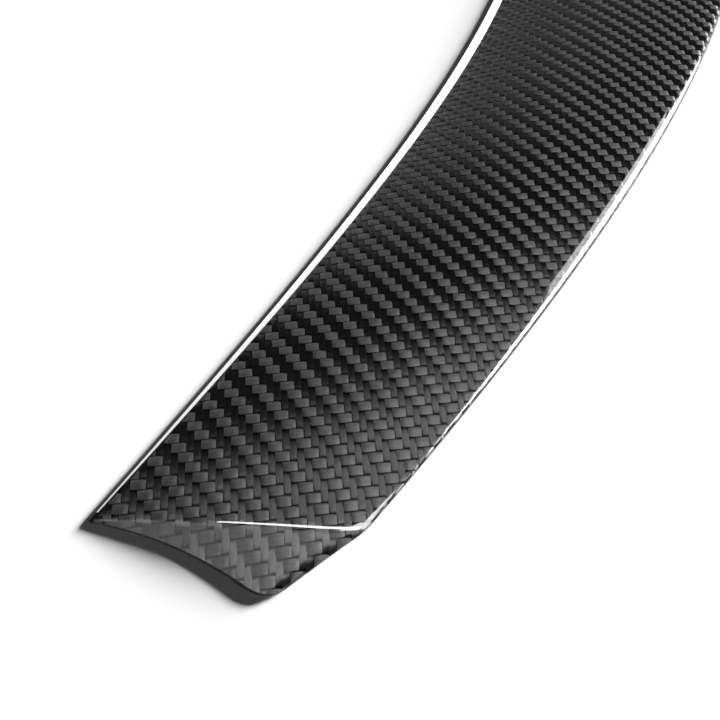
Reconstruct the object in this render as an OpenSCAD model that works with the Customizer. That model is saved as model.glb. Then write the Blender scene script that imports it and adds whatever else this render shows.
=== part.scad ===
// Rear lip spoiler for a car boot lid: one laminated shell, open underneath, folded down at both ends.
// X runs across the car, Y forwards, Z up. The origin is the middle of the overall box in plan,
// on the plane of the bonding faces.

/* [Plan] */
// Distance from the centre plane to the front corner of each end, mm
half_span = 550; // [450:5:650]
// Forward slope in plan that the swept ends approach, mm per mm
end_sweep = 0.58; // [0.2:0.02:0.7]
// Distance from the centre plane to the middle of each bend, mm
bend_position = 305; // [150:5:400]
// Softness of each bend, mm; a larger value curves more slowly
bend_softness = 230; // [120:10:400]

/* [Section] */
// Width from front edge to rear lip at the centre, mm
mid_chord = 90; // [70:1:120]
// Width from front edge to rear lip at the end creases, mm
end_chord = 53.5; // [45:0.5:70]
// Height gained from front edge to rear lip at the centre, mm
mid_rise = 28; // [15:0.5:45]
// Height gained from front edge to rear lip at the end creases, mm
end_rise = 5.7; // [4:0.1:12]
// Slope of the top face at the front edge, in parts of its mean slope
front_steepness = 1.6; // [1:0.05:1.9]
// Height of the bevelled front edge at the centre, mm
mid_nose_height = 4.4; // [3:0.1:6]
// Height of the bevelled front edge at the end creases, mm
end_nose_height = 1.4; // [1.2:0.1:2.4]
// Length of the bevel along the front edge at the centre, mm
mid_nose_length = 4.6; // [3:0.1:6]
// Length of the bevel along the front edge at the end creases, mm
end_nose_length = 1; // [0.5:0.1:2.5]
// Radius along the rear lip at the centre, mm
mid_lip_radius = 3; // [1.5:0.1:4]
// Radius along the rear lip at the end creases, mm
end_lip_radius = 0.4; // [0.2:0.1:1.5]
// Forward lean of the rear face, mm per mm of height
rear_lean = 0.25; // [0:0.01:0.5]

/* [End folds] */
// How far the rear end of each crease lies inside its front end, mm
crease_skew = 6.5; // [0:0.5:15]
// How far the low rear corner stands out past the front corner, mm
fold_reach = 11; // [6:0.5:16]
// How far the low rear corner lies behind the front corner, mm
fold_depth = 39; // [30:1:42]
// Length taken off each side of the low rear corner by its rounding, mm
corner_cut = 5; // [2:0.5:8]
// Height of the edge that lies on the boot lid at the low rear corner, mm
rim_height = 1.6; // [1.2:0.1:1.8]
// Height of that edge at the front tip, mm
tip_height = 0.9; // [0.6:0.1:1.1]
// Width of the rounding on each side of a crease, mm
crease_round = 2; // [0.5:0.1:4]

/* [Shell] */
// Laminate thickness, mm
wall = 2; // [1.6:0.1:2.4]
// Width of the flat bonding face along the front edge, mm
front_land = 9; // [6:0.5:14]
// Width of the flat bonding face along the rear face, mm
rear_land = 4; // [3:0.5:8]
// Solid length inside each crease, mm
end_land = 14; // [10:1:30]

/* [View] */
// Piece to draw

/* [Hidden] */
carbon_black = [0.09, 0.09, 0.1];
// Stations along the span, columns across the top face, and points round the nose, lip and crease
stations = 76;
columns = 14;
nose_steps = 3;
lip_steps = 5;
round_steps = 3;
// Part of the rim's run spent on the curved edge before the low rear corner
rim_share = 0.82;
// Gap at the tip of the end, so that crease and rim stay apart there, mm
tip_gap = 0.4;
// Height of the square part of the nose, in parts of the edge's height
nose_base = 0.35;
// Where the bevel above it bends, in parts of its length, and how far it bows out there
nose_bend = 0.48;
nose_bow = 0.08;
// Largest lip radius, in parts of the height of the lip
lip_share = 0.45;
// How the section's sizes change from the centre to the ends, as powers of the distance
chord_power = 2;
rise_power = 3;
lip_power = 9;

function mix(a, b, t) = a + (b - a) * t;
function bezier(a, b, c, t) = mix(mix(a, b, t), mix(b, c, t), t);

// Plan and height laws along the span
function raw_lead(x) = end_sweep / 2 * (norm([x - bend_position, bend_softness])
    + norm([x + bend_position, bend_softness]));
function along(x, mid, end, power) = mix(mid, end, pow(min(1, abs(x) / half_span), power));
function chord(x) = along(x, mid_chord, end_chord, chord_power);
function rise(x) = along(x, mid_rise, end_rise, rise_power);
function nose_height(x) = along(x, mid_nose_height, end_nose_height, rise_power);
function nose_length(x) = along(x, mid_nose_length, end_nose_length, rise_power);
function lip_radius(x) = along(x, mid_lip_radius, end_lip_radius, lip_power);
front_limit = raw_lead(half_span) + end_nose_length;
rear_limit = raw_lead(0) - mid_chord - mid_lip_radius;
centre_y = (front_limit + rear_limit) / 2;
function lead(x) = raw_lead(x) - centre_y;

// Top face at span x and at w, from 0 at the front edge to 1 at the rear lip
function crown(w) = front_steepness * w + (1 - front_steepness) * w * w;
function top_point(x, w) = [x, lead(x) - chord(x) * w, nose_height(x) + rise(x) * crown(w)];
// Station s runs from -1 at one crease to 1 at the other
function skin(s, w) = top_point(s * (half_span - crease_skew * w), w);

// Rim of the end fold at the +X end: a hollow curve back to a rounded low rear corner
tip = [half_span + tip_gap, lead(half_span)];
low_corner = [half_span + fold_reach, lead(half_span) - fold_depth];
lip_end = [half_span - crease_skew, lead(half_span - crease_skew) - chord(half_span - crease_skew)];
corner_share = 1 - corner_cut / fold_depth;
function hollow(t) = [mix(tip.x, low_corner.x, t * t), mix(tip.y, low_corner.y, t)];
corner_exit = low_corner + corner_cut * (lip_end - low_corner) / norm(lip_end - low_corner);
function rim_plan(w) = w < rim_share
    ? hollow(w / rim_share * corner_share)
    : bezier(hollow(corner_share), low_corner, corner_exit, (w - rim_share) / (1 - rim_share));
function rim_point(w) = let (p = rim_plan(w))
    [p.x, p.y, mix(tip_height, rim_height, min(1, w / rim_share))];
// Fold face at v, from 0 on the crease to 1 on the rim
function fold(w, v) = mix(skin(1, w), rim_point(w), v);

// Rows across the top face at the +X end: solid end, rounded crease and fold
function skin_row(s) = [for (j = [0:columns]) skin(s, j / columns)];
function round_share(w) = min(0.4, crease_round / norm(fold(w, 1) - fold(w, 0)));
function crease_row(t) = [for (j = [0:columns])
    let (w = j / columns) bezier(skin(round_station, w), skin(1, w), fold(w, round_share(w)), t)];
function fold_row(v) = [for (j = [0:columns])
    let (w = j / columns) fold(w, mix(round_share(w), 1, v))];
round_station = 1 - crease_round / half_span;
pocket_station = 1 - end_land / half_span;
pocket_wall = 2 / half_span;
end_rows = concat(
    [skin_row(pocket_station + pocket_wall), skin_row(round_station)],
    [for (k = [1:round_steps]) crease_row(k / round_steps)],
    [fold_row(0.5), fold_row(1)]);

// Outside of a section on one row: nose, top face, lip and rear face
function nose_part(p) = let (
    long = nose_length(p.x),
    low = [p.x, p.y + long, nose_base * p.z],
    bend = [p.x, p.y + nose_bend * long, mix(low.z, p.z, 1 - nose_bend + nose_bow)]) concat(
    [[p.x, p.y + long, 0]],
    [for (k = [0:nose_steps - 1]) bezier(low, bend, p, k / nose_steps)]);
function lip_size(p) = min(lip_radius(p.x), lip_share * p.z);
function lean(p) = rear_lean * (p.z - lip_size(p));
function foot(p) = [p.x, p.y - lip_size(p) + lean(p), 0];
function lip_part(p) = let (r = lip_size(p)) [for (k = [1:lip_steps])
    let (a = 90 - 90 * k / lip_steps) [p.x, p.y - r * cos(a), p.z - r + r * sin(a)]];
function outside(row) = let (rear = row[columns])
    concat(nose_part(row[0]), row, lip_part(rear), [foot(rear)]);

// Underside on one row, back from the rear foot to the nose: flat, or with the open pocket
function flat_under(row) = let (rear = row[columns], front = row[0]) concat(
    [[rear.x, rear.y + lean(rear) - lip_size(rear) / 2, 0]],
    [for (j = [columns:-1:0]) [row[j].x, row[j].y + lean(rear) * j / columns, 0]],
    [[front.x, front.y + nose_length(front.x) / 2, 0]]);
function pocket_front(x) = front_land / chord(x);
function pocket_rear(x) = 1 - (rear_land - lip_radius(x)) / chord(x);
function pocket_under(s) = let (
    x = s * half_span,
    front = skin(s, pocket_front(x)),
    rear = foot(skin(s, 1))) concat(
    [[rear.x, rear.y + rear_land, 0]],
    [for (j = [columns:-1:0])
        skin(s, mix(pocket_front(x), pocket_rear(x), j / columns)) - [0, 0, wall]],
    [[front.x, front.y, 0]]);
function flat_section(row) = concat(outside(row), flat_under(row));
function pocket_section(s) = concat(outside(skin_row(s)), pocket_under(s));
function mirrored(row) = [for (p = row) [-p.x, p.y, p.z]];

// All sections from the -X rim to the +X rim, and the faces that close the loft
last_row = len(end_rows) - 1;
sections = concat(
    [for (k = [last_row:-1:0]) flat_section(mirrored(end_rows[k]))],
    [for (k = [0:stations]) pocket_section(mix(-pocket_station, pocket_station, k / stations))],
    [for (row = end_rows) flat_section(row)]);
ring = len(sections[0]);
nose_count = nose_steps + 1;
top_last = nose_count + columns;
under_first = top_last + lip_steps + 2;
function reversed(list) = [for (k = [len(list) - 1:-1:0]) list[k]];
function cap(first) = concat(
    [for (j = [0:columns - 1])
        let (top = first + nose_count + j, under = first + under_first + 1 + columns - j)
        each quad(top, under, under - 1, top + 1)],
    [[for (k = [nose_count:-1:0]) first + k, first + ring - 1, first + ring - 2]],
    [[for (k = [under_first + 1:-1:top_last]) first + k]]);
function quad(a, b, c, d) = [[a, b, c], [a, c, d]];
sides = [for (i = [0:len(sections) - 2], k = [0:ring - 1])
    let (a = i * ring, next = (k + 1) % ring)
    each quad(a + k, a + next, a + ring + next, a + ring + k)];

module spoiler_shell() {
    last_cap = [for (face = cap((len(sections) - 1) * ring)) reversed(face)];
    color(carbon_black)
        polyhedron([for (section = sections) each section], concat(sides, cap(0), last_cap),
            convexity = 6);
}

spoiler_shell();
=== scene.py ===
import math
import bmesh
import bpy
from mathutils import Matrix, Vector


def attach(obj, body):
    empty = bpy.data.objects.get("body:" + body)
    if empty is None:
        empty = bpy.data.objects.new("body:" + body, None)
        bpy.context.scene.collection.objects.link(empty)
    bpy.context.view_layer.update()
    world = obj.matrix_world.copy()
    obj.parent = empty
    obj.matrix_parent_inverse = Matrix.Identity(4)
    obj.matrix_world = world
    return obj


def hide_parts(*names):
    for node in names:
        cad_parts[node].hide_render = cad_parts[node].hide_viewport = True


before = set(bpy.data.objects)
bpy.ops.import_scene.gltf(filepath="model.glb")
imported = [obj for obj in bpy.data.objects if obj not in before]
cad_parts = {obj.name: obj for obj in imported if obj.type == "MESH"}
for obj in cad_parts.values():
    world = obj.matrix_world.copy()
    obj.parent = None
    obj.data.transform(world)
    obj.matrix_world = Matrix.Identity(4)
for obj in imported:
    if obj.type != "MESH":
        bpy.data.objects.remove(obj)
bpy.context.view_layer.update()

# Sizes of the shell in millimetres, as in the part's source
HALF_SPAN = 550.0
END_SWEEP = 0.58
BEND_POSITION = 305.0
BEND_SOFTNESS = 230.0
MID_CHORD, END_CHORD = 90.0, 53.5
MID_RISE, END_RISE = 28.0, 5.7
FRONT_STEEPNESS = 1.6
MID_NOSE_HEIGHT, END_NOSE_HEIGHT = 4.4, 1.4
MID_NOSE_LENGTH, END_NOSE_LENGTH = 4.6, 1.0
MID_NOSE_BASE, END_NOSE_BASE, NOSE_BEND, NOSE_BOW = 0.35, 0.62, 0.48, 0.08
MID_LIP_RADIUS, END_LIP_RADIUS, LIP_SHARE = 3.0, 0.4, 0.45
REAR_LEAN = 0.25
CREASE_SKEW = 6.5
FOLD_REACH, FOLD_DEPTH, CORNER_CUT = 11.0, 39.0, 5.0
RIM_HEIGHT, TIP_HEIGHT, RIM_SHARE, TIP_GAP = 1.6, 0.9, 0.82, 0.4
CREASE_ROUND, ROUND_LIMIT = 2.0, 0.4
CHORD_POWER, RISE_POWER, LIP_POWER, NOSE_BASE_POWER = 2, 3, 9, 8
WALL, FRONT_LAND, REAR_LAND, END_LAND, POCKET_WALL = 2.0, 9.0, 4.0, 14.0, 2.0

# Fineness of the visible mesh, the angle from which an edge shows as a sharp one, and how
# near to each other, m, the points along the mesh's seam are joined
STATIONS, COLUMNS = 360, 40
NOSE_STEPS, LIP_STEPS, ROUND_STEPS, FOLD_STEPS = 6, 8, 6, 8
SHARP_ANGLE, SEAM_GAP = math.radians(38), 0.000001

# Carbon cloth: plan directions of its cross and long tows, and the step along each from
# one crossing to the next, mm
CROSS_ANGLE, CROSS_STEP = math.radians(-74.06), 1.70
LONG_ANGLE, LONG_STEP = math.radians(-170.96), 2.77
# Shift of the cloth, in tows, that lays its floats where the photograph shows them
CROSS_SHIFT, LONG_SHIFT = -1.06, 0.02
# Tows after which the twill repeats: each passes over half of them and under the others
TWILL_REPEAT = 4
CLOTH_MAP, CLOTH_SHARE = "cloth", "cloth_share"

# Relief of the cloth, m; the cross tows ride higher than the long ones
TOW_RELIEF = 0.00012
CROSS_SWING, CROSS_RAISE, CROSS_DROP = 1.0, 0.3, 1.2
LONG_SWING, LONG_RAISE, LONG_DROP = 0.8, 0.0, 0.3
FLOAT_FLATTENING, SIDE_POWER = 0.5, 3.0
# Painted shade in the gaps around the floats: its tone, and how wide it is in relief, across and along
# a tow
GAP_SHADE_TONE, GAP_RELIEF, GAP_SIDE, GAP_END = 0.1, 1.0, 0.22, 0.3
# Fibre streaks: noise per tow along and across the fibres, its strength and its detail
STREAK_ALONG, STREAK_ACROSS, STREAK_DEPTH, STREAK_DETAIL = 0.6, 6.0, 0.7, 2.0
# Greys of the cross tows, the long tows and plain resin; the long tows get about half the cross tows'
# grey, painted shade that keeps them darker than the cross tows
CROSS_GREY, LONG_SHADED_GREY, RESIN_GREY = 0.062, 0.03, 0.01
FIBRE_ROUGHNESS, FIBRE_ANISOTROPY = 0.38, 1.0
# Turn of the gloss from the map's first axis, in full turns: it stretches across the fibres
CROSS_TURN, LONG_TURN = 0.25, 0.0
# Keeps the fibres from turning bright where light only grazes them
GRAZING_TINT = 0.5
COAT_ROUGHNESS, COAT_IOR = 0.01, 1.5

# Studio, m: white paper just below the shell, and a pale wall round it
FLOOR_HALF, FLOOR_DROP = 6.0, 0.0001
PAPER_TONE, PAPER_ROUGHNESS = 0.9, 0.9
BACKDROP_RADIUS, BACKDROP_HEIGHT, BACKDROP_SEGMENTS = 5.5, 8.0, 64

# Two spots that the lamps face, and how far away the lamps hang, m
MIDDLE, NEAR_END = Vector((-0.45, 0, 0)), Vector((-0.53, 0.06, 0))
LAMP_DISTANCE = 2.0
# Softboxes for the gloss: spot, azimuth and elevation in degrees, width and height, radiance
SOFTBOXES = {
    "facet_fill": (NEAR_END, 165, 46, (1.4, 2.6), 1.3),
    "top_softbox": (MIDDLE, -90, 79, (0.6, 0.4), 16),
    "rear_upper": (MIDDLE, -112, 61, (0.5, 0.5), 27),
    "rear_softbox": (MIDDLE, -69, 26, (1.38, 1.3), 38),
    "side_softbox": (MIDDLE, -36, 45, (0.6, 0.6), 7),
    "side_lower": (MIDDLE, -43, 38, (0.4, 0.4), 22),
    "front_panel": (MIDDLE, 30, 7, (1.55, 0.42), 13),
}
# Narrow box overhead that draws the bright line along the crease
CREASE_STRIP_PLACE = NEAR_END + Vector((0, -0.03, LAMP_DISTANCE))
CREASE_STRIP_SIZE, CREASE_STRIP_RADIANCE = (0.18, 0.68), 24
# Soft light on the floor: azimuth, elevation and spread in degrees, strength
PAPER_AZIMUTH, PAPER_ELEVATION, PAPER_SPREAD, PAPER_STRENGTH = -50, 17, 15, 12.4
SURROUND_STRENGTH = 0.05

# Camera at the photograph's viewing angle; focal length and frame in pixels, sensor in mm
FOCAL_PX, FRAME_PX = 844.84, 720
SENSOR_WIDTH = 36
CLIP_NEAR, CLIP_FAR = 0.01, 50
CAMERA_PLACE = Vector((-0.62011, 0.09771, 0.17988))
CAMERA_RIGHT = Vector((0.08366, -0.95858, 0.27226))
CAMERA_DOWN = Vector((-0.818, -0.22209, -0.53061))

MM = 0.001


def mix(a, b, t):
    return a + (b - a) * t


def bezier(a, b, c, t):
    return mix(mix(a, b, t), mix(b, c, t), t)


def raw_lead(x):
    """Forward sweep in plan: straight across the middle, bending toward both ends."""
    near = math.hypot(x - BEND_POSITION, BEND_SOFTNESS)
    return END_SWEEP / 2 * (near + math.hypot(x + BEND_POSITION, BEND_SOFTNESS))


CENTRE_Y = (raw_lead(HALF_SPAN) + END_NOSE_LENGTH + raw_lead(0) - MID_CHORD - MID_LIP_RADIUS) / 2


def lead(x):
    return raw_lead(x) - CENTRE_Y


def along(x, mid, end, power):
    return mix(mid, end, min(1, abs(x) / HALF_SPAN) ** power)


def chord(x):
    return along(x, MID_CHORD, END_CHORD, CHORD_POWER)


def rise(x):
    return along(x, MID_RISE, END_RISE, RISE_POWER)


def nose_height(x):
    return along(x, MID_NOSE_HEIGHT, END_NOSE_HEIGHT, RISE_POWER)


def nose_length(x):
    return along(x, MID_NOSE_LENGTH, END_NOSE_LENGTH, RISE_POWER)


def lip_radius(x):
    return along(x, MID_LIP_RADIUS, END_LIP_RADIUS, LIP_POWER)


def top_point(x, w):
    """Point of the top face, from 0 at the front edge to 1 at the rear lip."""
    crown = FRONT_STEEPNESS * w + (1 - FRONT_STEEPNESS) * w * w
    return Vector((x, lead(x) - chord(x) * w, nose_height(x) + rise(x) * crown))


def skin(s, w):
    """The same on station s, from -1 at one crease to 1 at the other."""
    return top_point(s * (HALF_SPAN - CREASE_SKEW * w), w)


# Rim of the end fold at the +X end
TIP = Vector((HALF_SPAN + TIP_GAP, lead(HALF_SPAN), TIP_HEIGHT))
LOW_CORNER = Vector((HALF_SPAN + FOLD_REACH, lead(HALF_SPAN) - FOLD_DEPTH, RIM_HEIGHT))
LIP_END = skin(1, 1)
LIP_END.z = RIM_HEIGHT
CORNER_SHARE = 1 - CORNER_CUT / FOLD_DEPTH
CORNER_EXIT = LOW_CORNER + CORNER_CUT * (LIP_END - LOW_CORNER).normalized()


def hollow(t):
    """Hollow curve of the rim in plan, from the tip to the low corner."""
    return Vector((mix(TIP.x, LOW_CORNER.x, t * t), mix(TIP.y, LOW_CORNER.y, t), RIM_HEIGHT))


def rim_point(w):
    """Edge that lies on the boot lid: the hollow curve, then the rounded low corner."""
    if w >= RIM_SHARE:
        return bezier(hollow(CORNER_SHARE), LOW_CORNER, CORNER_EXIT, (w - RIM_SHARE) / (1 - RIM_SHARE))
    point = hollow(w / RIM_SHARE * CORNER_SHARE)
    point.z = mix(TIP_HEIGHT, RIM_HEIGHT, w / RIM_SHARE)
    return point


def fold(w, v):
    """Point of the folded end face, from 0 on the crease to 1 on the rim."""
    return mix(skin(1, w), rim_point(w), v)


def round_share(w):
    """Share of the end face that the rounding of the crease takes."""
    return min(ROUND_LIMIT, CREASE_ROUND / (fold(w, 1) - fold(w, 0)).length)


SHARES = [j / COLUMNS for j in range(COLUMNS + 1)]
ROUND_STATION = 1 - CREASE_ROUND / HALF_SPAN
POCKET_STATION = 1 - END_LAND / HALF_SPAN


def skin_row(s):
    return [skin(s, w) for w in SHARES]


def crease_row(t):
    return [bezier(skin(ROUND_STATION, w), skin(1, w), fold(w, round_share(w)), t) for w in SHARES]


def fold_row(v):
    return [fold(w, mix(round_share(w), 1, v)) for w in SHARES]


def mirrored(row):
    return [Vector((-p.x, p.y, p.z)) for p in row]


def lip_size(p):
    return min(lip_radius(p.x), LIP_SHARE * p.z)


def lean(p):
    return REAR_LEAN * (p.z - lip_size(p))


def nose_part(p):
    """Front edge from the bonding plane up to the top face."""
    front = p.y + nose_length(p.x)
    base = along(p.x, MID_NOSE_BASE, END_NOSE_BASE, NOSE_BASE_POWER)
    low = Vector((p.x, front, base * p.z))
    height = mix(low.z, p.z, 1 - NOSE_BEND + NOSE_BOW)
    bend = Vector((p.x, mix(p.y, front, NOSE_BEND), height))
    bevel = [bezier(low, bend, p, k / NOSE_STEPS) for k in range(NOSE_STEPS)]
    return [Vector((p.x, front, 0))] + bevel


def foot(p):
    return Vector((p.x, p.y - lip_size(p) + lean(p), 0))


def lip_part(p):
    """Rounded rear lip and the rear face's foot."""
    r = lip_size(p)
    part = []
    for k in range(1, LIP_STEPS + 1):
        a = math.pi / 2 * (1 - k / LIP_STEPS)
        part.append(Vector((p.x, p.y - r * math.cos(a), p.z - r + r * math.sin(a))))
    return part + [foot(p)]


def flat_under(row):
    """Solid underside of the ends, back from the rear foot to the nose."""
    rear, front = row[-1], row[0]
    part = [Vector((rear.x, rear.y + lean(rear) - lip_size(rear) / 2, 0))]
    for j in range(COLUMNS, -1, -1):
        part.append(Vector((row[j].x, row[j].y + lean(rear) * j / COLUMNS, 0)))
    return part + [Vector((front.x, front.y + nose_length(front.x) / 2, 0))]


def pocket_under(s):
    """Open pocket between the two bonding faces, one wall below the top face."""
    x = s * HALF_SPAN
    w0, w1 = FRONT_LAND / chord(x), 1 - (REAR_LAND - lip_radius(x)) / chord(x)
    front, rear = skin(s, w0), foot(skin(s, 1))
    part = [Vector((rear.x, rear.y + REAR_LAND, 0))]
    for w in reversed(SHARES):
        part.append(skin(s, mix(w0, w1, w)) - Vector((0, 0, WALL)))
    return part + [Vector((front.x, front.y, 0))]


def outside(row):
    return nose_part(row[0]) + row + lip_part(row[-1])


def flat_section(row):
    return outside(row) + flat_under(row)


def pocket_section(s):
    return outside(skin_row(s)) + pocket_under(s)


def all_sections():
    """Closed sections from one rim to the other, all with the same number of points."""
    ends = [skin_row(POCKET_STATION + POCKET_WALL / HALF_SPAN), skin_row(ROUND_STATION)]
    ends += [crease_row(k / ROUND_STEPS) for k in range(1, ROUND_STEPS + 1)]
    ends += [fold_row(k / FOLD_STEPS) for k in range(1, FOLD_STEPS + 1)]
    middle = [mix(-POCKET_STATION, POCKET_STATION, k / STATIONS) for k in range(STATIONS + 1)]
    return (
        [flat_section(mirrored(row)) for row in reversed(ends)]
        + [pocket_section(s) for s in middle]
        + [flat_section(row) for row in ends]
    )


# Places of points round a section: top face, and where the underside starts
NOSE_COUNT = NOSE_STEPS + 1
TOP_LAST = NOSE_COUNT + COLUMNS
UNDER_FIRST = TOP_LAST + LIP_STEPS + 2
UNDER_LAST = UNDER_FIRST + 1 + COLUMNS


def cloth_row(section):
    """Plan position of each point of a section with the cloth rolled out flat, mm."""
    flat = [None] * len(section)
    flat[NOSE_COUNT] = Vector((section[NOSE_COUNT].x, section[NOSE_COUNT].y))
    for k in range(NOSE_COUNT + 1, len(section)):
        step = section[k] - section[k - 1]
        flat[k] = Vector((section[k].x, flat[k - 1].y - math.hypot(step.y, step.z)))
    for k in range(NOSE_COUNT - 1, -1, -1):
        step = section[k] - section[k + 1]
        flat[k] = Vector((section[k].x, flat[k + 1].y + math.hypot(step.y, step.z)))
    return flat


def tow_count(p):
    """Tows counted across and along the cloth at a plan position in millimetres."""
    ax, ay = CROSS_STEP * math.cos(CROSS_ANGLE), CROSS_STEP * math.sin(CROSS_ANGLE)
    bx, by = LONG_STEP * math.cos(LONG_ANGLE), LONG_STEP * math.sin(LONG_ANGLE)
    det = ax * by - ay * bx
    a, b = (p.x * by - p.y * bx) / det, (ax * p.y - ay * p.x) / det
    return a + CROSS_SHIFT, b + LONG_SHIFT


def wrap_grid(bm, sections, station, place):
    """Grid with one row for each section, wrapped round and joined along its seam."""
    ring = len(sections[0])
    made = bmesh.ops.create_grid(bm, x_segments=ring, y_segments=len(sections) - 1, size=1.0)
    for number, vert in enumerate(made["verts"]):
        row, column = divmod(number, ring + 1)
        vert[station], vert[place] = row, column % ring
        vert.co = sections[row][column % ring] * MM
    seam = [vert for vert in bm.verts if vert[place] == 0]
    bmesh.ops.remove_doubles(bm, verts=seam, dist=SEAM_GAP)


def close_end(bm, number, station, place):
    """Bridge the top edge of a rim to its foot."""
    def run(first, last):
        def inside(vert):
            return vert[station] == number and first <= vert[place] <= last

        return [edge for edge in bm.edges if all(inside(vert) for vert in edge.verts)]

    top, under = run(NOSE_COUNT, TOP_LAST), run(UNDER_FIRST + 1, UNDER_LAST)
    bmesh.ops.bridge_loops(bm, edges=top + under)


def lay_cloth(bm, sections, station, place):
    """Map of the cloth, in tows; the bevelled front edge is clear resin without cloth."""
    cloth = [[tow_count(p) for p in cloth_row(section)] for section in sections]
    layer = bm.loops.layers.uv.new(CLOTH_MAP)
    for face in bm.faces:
        for corner in face.loops:
            corner[layer].uv = cloth[corner.vert[station]][corner.vert[place]]
    share = bm.verts.layers.float.new(CLOTH_SHARE)
    for vert in bm.verts:
        vert[share] = 0.0 if vert[place] < NOSE_COUNT else 1.0


def shell_mesh():
    """Loft through all sections from one rim to the other, closed at both."""
    sections = all_sections()
    bm = bmesh.new()
    marks = bm.verts.layers.int
    for name in ("station", "place"):
        marks.new(name)
    station, place = marks["station"], marks["place"]
    wrap_grid(bm, sections, station, place)
    close_end(bm, 0, station, place)
    close_end(bm, len(sections) - 1, station, place)
    # The bridges leave a gap at the nose and at the lip of each rim
    bmesh.ops.holes_fill(bm, edges=[edge for edge in bm.edges if edge.is_boundary], sides=0)
    bmesh.ops.recalc_face_normals(bm, faces=bm.faces)
    lay_cloth(bm, sections, station, place)
    for name in ("station", "place"):
        marks.remove(marks[name])
    mesh = bpy.data.meshes.new("spoiler_shell_smooth")
    bm.to_mesh(mesh)
    bm.free()
    mesh.shade_smooth()
    mesh.set_sharp_from_angle(angle=SHARP_ANGLE)
    return mesh


class Nodes:
    """Short hand for building a material's node tree."""

    def __init__(self, tree):
        self.tree = tree

    def add(self, kind, **settings):
        node = self.tree.nodes.new(kind)
        for name, value in settings.items():
            setattr(node, name, value)
        return node

    def put(self, socket, value):
        if isinstance(value, bpy.types.NodeSocket):
            self.tree.links.new(value, socket)
        else:
            socket.default_value = value

    def math(self, operation, *values):
        node = self.add("ShaderNodeMath", operation=operation)
        for socket, value in zip(node.inputs, values):
            self.put(socket, value)
        return node.outputs[0]

    def choose(self, factor, low, high):
        node = self.add("ShaderNodeMix", data_type="FLOAT")
        for socket, value in zip(node.inputs[:1] + node.inputs[2:4], (factor, low, high)):
            self.put(socket, value)
        return node.outputs[0]


def tow_height(n, side, over, swing, raise_by, side_drop):
    """Height of a tow that passes over two others and then under two."""
    wave = n.math("SINE", n.math("MULTIPLY", over, 2 * math.pi / TWILL_REPEAT))
    bend = n.math("MULTIPLY_ADD", n.math("POWER", wave, 2.0), -FLOAT_FLATTENING, 1 + FLOAT_FLATTENING)
    run = n.math("MULTIPLY_ADD", n.math("MULTIPLY", wave, bend), swing, raise_by)
    return n.math("SUBTRACT", run, n.math("MULTIPLY", n.math("POWER", side, SIDE_POWER), side_drop))


def from_middle(n, across):
    """0 in the middle of a tow and 1 at its sides."""
    return n.math("ABSOLUTE", n.math("MULTIPLY_ADD", n.math("FRACT", across), 2.0, -1.0))


def fade_in(n, value, width):
    """0 up to 1 while the value runs from 0 to the width."""
    ramp = n.add("ShaderNodeMapRange", interpolation_type="SMOOTHSTEP")
    n.put(ramp.inputs["Value"], value)
    n.put(ramp.inputs["From Max"], width)
    return ramp.outputs[0]


def tow_grey(n, lift, unshaded_edge, streak, grey):
    """Grey of one family, with painted shade where it dips under the other and at its sides or ends.
    """
    shade = n.math("MULTIPLY", fade_in(n, lift, GAP_RELIEF), unshaded_edge)
    tone = n.math("MULTIPLY_ADD", shade, 1 - GAP_SHADE_TONE, GAP_SHADE_TONE)
    fibres = n.math("MULTIPLY_ADD", streak, STREAK_DEPTH, 1 - STREAK_DEPTH / 2)
    return n.math("MULTIPLY", n.math("MULTIPLY", tone, fibres), grey)


def fibre_streaks(n, lengthwise, crosswise):
    """Fine noise stretched along the fibres."""
    place = n.add("ShaderNodeCombineXYZ")
    n.put(place.inputs[0], n.math("MULTIPLY", lengthwise, STREAK_ALONG))
    n.put(place.inputs[1], n.math("MULTIPLY", crosswise, STREAK_ACROSS))
    noise = n.add("ShaderNodeTexNoise", noise_dimensions="2D")
    n.put(noise.inputs["Vector"], place.outputs[0])
    n.put(noise.inputs["Scale"], 1.0)
    n.put(noise.inputs["Detail"], STREAK_DETAIL)
    return noise.outputs[0]


def weave_places(n):
    """Tows counted both ways, and how far each has come through its run over and under."""
    uv = n.add("ShaderNodeUVMap", uv_map=CLOTH_MAP)
    parts = n.add("ShaderNodeSeparateXYZ")
    n.put(parts.inputs[0], uv.outputs[0])
    a, b = parts.outputs[0], parts.outputs[1]
    step = n.math("SUBTRACT", n.math("FLOOR", a), n.math("FLOOR", b))
    phase = n.math("FLOORED_MODULO", step, TWILL_REPEAT)
    cross_over = n.math("ADD", phase, n.math("FRACT", a))
    long_over = n.math("ADD", n.math("SUBTRACT", TWILL_REPEAT - 1, phase), n.math("FRACT", b))
    return a, b, cross_over, long_over


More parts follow.
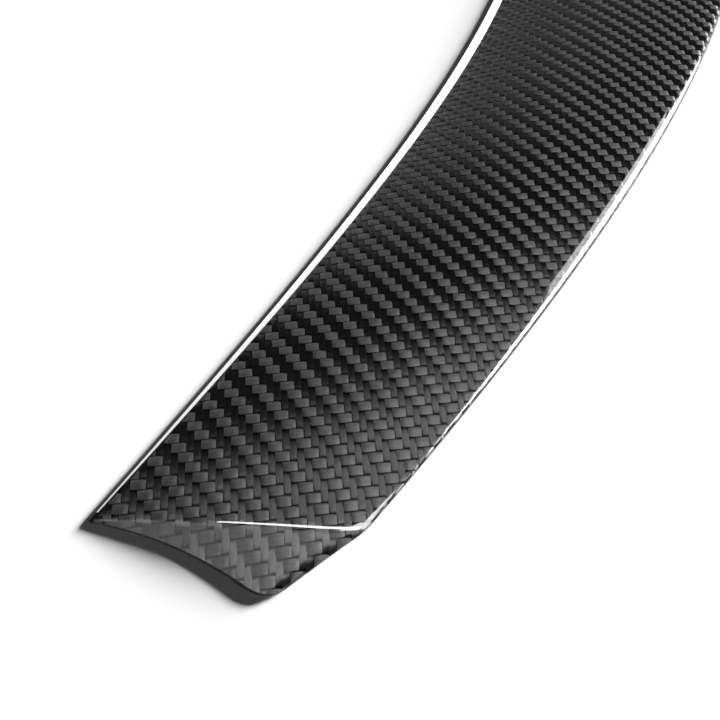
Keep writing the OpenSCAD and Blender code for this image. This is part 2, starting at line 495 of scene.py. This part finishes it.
def twill(n):
    """Relief of the cloth, whether a cross tow is on top, and the grey of the fibres with painted
    shade in the gaps and on the long tows.
    """
    a, b, cross_over, long_over = weave_places(n)
    cross_side, long_side = from_middle(n, b), from_middle(n, a)
    cross_height = tow_height(n, cross_side, cross_over, CROSS_SWING, CROSS_RAISE, CROSS_DROP)
    long_height = tow_height(n, long_side, long_over, LONG_SWING, LONG_RAISE, LONG_DROP)
    cross_on_top = n.math("GREATER_THAN", cross_height, long_height)
    relief = n.math("MAXIMUM", cross_height, long_height)
    # Painted shade where the two families meet, along the cross tows' sides and at the long tows' ends
    lift = n.math("ABSOLUTE", n.math("SUBTRACT", cross_height, long_height))
    unshaded_edge = fade_in(n, n.math("SUBTRACT", 1.0, cross_side), GAP_SIDE)
    from_end = n.math("SUBTRACT", 1.0, n.math("ABSOLUTE", n.math("SUBTRACT", long_over, 1.0)))
    unshaded_end = fade_in(n, from_end, GAP_END)
    cross_grey = tow_grey(n, lift, unshaded_edge, fibre_streaks(n, a, b), CROSS_GREY)
    # The long tows' lower grey is painted shade
    long_shaded_grey = tow_grey(n, lift, unshaded_end, fibre_streaks(n, b, a), LONG_SHADED_GREY)
    return relief, cross_on_top, n.choose(cross_on_top, long_shaded_grey, cross_grey)


def laminate_colour(n, cloth_grey):
    """Cloth, or plain dark resin where the share of cloth is 0."""
    share = n.add("ShaderNodeAttribute", attribute_name=CLOTH_SHARE)
    grey = n.choose(share.outputs["Fac"], RESIN_GREY, cloth_grey)
    colour = n.add("ShaderNodeCombineColor")
    for socket in colour.inputs:
        n.put(socket, grey)
    return colour.outputs[0]


def tow_bump(n, relief):
    bump = n.add("ShaderNodeBump")
    n.put(bump.inputs["Strength"], 1.0)
    n.put(bump.inputs["Distance"], TOW_RELIEF)
    n.put(bump.inputs["Height"], relief)
    return bump.outputs[0]


def carbon_material():
    """Fibres as dull metal, glossy across each tow, under a smooth clear coat."""
    material = bpy.data.materials.new("coated_carbon_twill")
    material.use_nodes = True
    tree = material.node_tree
    tree.nodes.clear()
    n = Nodes(tree)
    relief, cross_on_top, cloth_grey = twill(n)
    tangent = n.add("ShaderNodeTangent", direction_type="UV_MAP", uv_map=CLOTH_MAP)
    shader = n.add("ShaderNodeBsdfPrincipled")
    n.put(shader.inputs["Base Color"], laminate_colour(n, cloth_grey))
    n.put(shader.inputs["Metallic"], 1.0)
    n.put(shader.inputs["Specular Tint"], (GRAZING_TINT, GRAZING_TINT, GRAZING_TINT, 1))
    n.put(shader.inputs["Roughness"], FIBRE_ROUGHNESS)
    n.put(shader.inputs["Anisotropic"], FIBRE_ANISOTROPY)
    n.put(shader.inputs["Anisotropic Rotation"], n.choose(cross_on_top, LONG_TURN, CROSS_TURN))
    n.put(shader.inputs["Normal"], tow_bump(n, relief))
    n.put(shader.inputs["Tangent"], tangent.outputs[0])
    n.put(shader.inputs["Coat Weight"], 1.0)
    n.put(shader.inputs["Coat Roughness"], COAT_ROUGHNESS)
    n.put(shader.inputs["Coat IOR"], COAT_IOR)
    out = n.add("ShaderNodeOutputMaterial")
    tree.links.new(shader.outputs[0], out.inputs[0])
    return material


def make_shell():
    mesh = shell_mesh()
    piece = bpy.data.objects.new("spoiler_shell_smooth", mesh)
    bpy.context.scene.collection.objects.link(piece)
    mesh.materials.append(carbon_material())
    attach(piece, "root")
    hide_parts("spoiler_shell")


def plain_material(name, tone, roughness):
    material = bpy.data.materials.new(name)
    material.use_nodes = True
    shader = material.node_tree.nodes["Principled BSDF"]
    shader.inputs["Base Color"].default_value = (tone, tone, tone, 1)
    shader.inputs["Roughness"].default_value = roughness
    shader.inputs["Specular IOR Level"].default_value = 0.0
    return material


def stage_piece(bm, name, material):
    """Turn a bmesh into a piece of the studio."""
    mesh = bpy.data.meshes.new(name)
    bm.to_mesh(mesh)
    bm.free()
    mesh.materials.append(material)
    piece = bpy.data.objects.new(name, mesh)
    bpy.context.scene.collection.objects.link(piece)
    return piece


def make_floor():
    bm = bmesh.new()
    bmesh.ops.create_grid(bm, x_segments=1, y_segments=1, size=FLOOR_HALF)
    bmesh.ops.translate(bm, vec=(0, 0, -FLOOR_DROP), verts=bm.verts)
    stage_piece(bm, "floor", plain_material("white_paper", PAPER_TONE, PAPER_ROUGHNESS))


def make_backdrop():
    """Pale wall round the floor that only the camera sees."""
    bm = bmesh.new()
    bmesh.ops.create_cone(
        bm, cap_ends=False, segments=BACKDROP_SEGMENTS, radius1=BACKDROP_RADIUS,
        radius2=BACKDROP_RADIUS, depth=BACKDROP_HEIGHT)
    bmesh.ops.translate(bm, vec=(0, 0, BACKDROP_HEIGHT / 2), verts=bm.verts)
    material = plain_material("pale_wall", 0.0, 1.0)
    shader = material.node_tree.nodes["Principled BSDF"]
    shader.inputs["Emission Color"].default_value = (1, 1, 1, 1)
    shader.inputs["Emission Strength"].default_value = 1.0
    wall = stage_piece(bm, "backdrop", material)
    wall.visible_diffuse = False
    wall.visible_glossy = False
    wall.visible_transmission = False
    wall.visible_shadow = False


def toward(azimuth, elevation):
    """Unit vector at an azimuth from +X toward +Y and an elevation, in degrees."""
    a, e = math.radians(azimuth), math.radians(elevation)
    return Vector((math.cos(e) * math.cos(a), math.cos(e) * math.sin(a), math.sin(e)))


def softbox(name, place, target, size, radiance):
    """A flat rectangular light of the given radiance that only the gloss sees."""
    light = bpy.data.lights.new(name, "AREA")
    light.shape = "RECTANGLE"
    light.size, light.size_y = size
    light.energy = radiance * math.pi * size[0] * size[1]
    lamp = bpy.data.objects.new(name, light)
    lamp.location = place
    lamp.rotation_euler = (target - place).to_track_quat("-Z", "Y").to_euler()
    lamp.visible_diffuse = False
    bpy.context.scene.collection.objects.link(lamp)


def paper_light():
    """A wide soft light for the white floor and its shadows."""
    light = bpy.data.lights.new("paper_light", "SUN")
    light.angle = math.radians(PAPER_SPREAD)
    light.energy = PAPER_STRENGTH
    lamp = bpy.data.objects.new("paper_light", light)
    facing = -toward(PAPER_AZIMUTH, PAPER_ELEVATION)
    lamp.rotation_euler = facing.to_track_quat("-Z", "Y").to_euler()
    lamp.visible_glossy = False
    bpy.context.scene.collection.objects.link(lamp)


def make_world():
    world = bpy.data.worlds.new("studio")
    bpy.context.scene.world = world
    world.use_nodes = True
    background = world.node_tree.nodes["Background"]
    background.inputs["Color"].default_value = (1, 1, 1, 1)
    background.inputs["Strength"].default_value = SURROUND_STRENGTH


def make_lights():
    softbox("crease_strip", CREASE_STRIP_PLACE, NEAR_END, CREASE_STRIP_SIZE, CREASE_STRIP_RADIANCE)
    for name, (spot, azimuth, elevation, size, radiance) in SOFTBOXES.items():
        softbox(name, spot + toward(azimuth, elevation) * LAMP_DISTANCE, spot, size, radiance)
    paper_light()


def make_camera():
    data = bpy.data.cameras.new("photo_view")
    data.sensor_width = SENSOR_WIDTH
    data.lens = FOCAL_PX / FRAME_PX * data.sensor_width
    data.clip_start, data.clip_end = CLIP_NEAR, CLIP_FAR
    camera = bpy.data.objects.new("photo_view", data)
    right = CAMERA_RIGHT.normalized()
    down = (CAMERA_DOWN - right * right.dot(CAMERA_DOWN)).normalized()
    back = right.cross(-down)
    rotation = Matrix((right, -down, back)).transposed()
    camera.matrix_world = Matrix.Translation(CAMERA_PLACE) @ rotation.to_4x4()
    bpy.context.scene.collection.objects.link(camera)
    bpy.context.scene.camera = camera


def set_colours():
    view = bpy.context.scene.view_settings
    view.view_transform = "Standard"
    view.look = "None"
    view.exposure = 0.0
    view.gamma = 1.0


make_shell()
make_floor()
make_backdrop()
make_world()
make_lights()
make_camera()
set_colours()
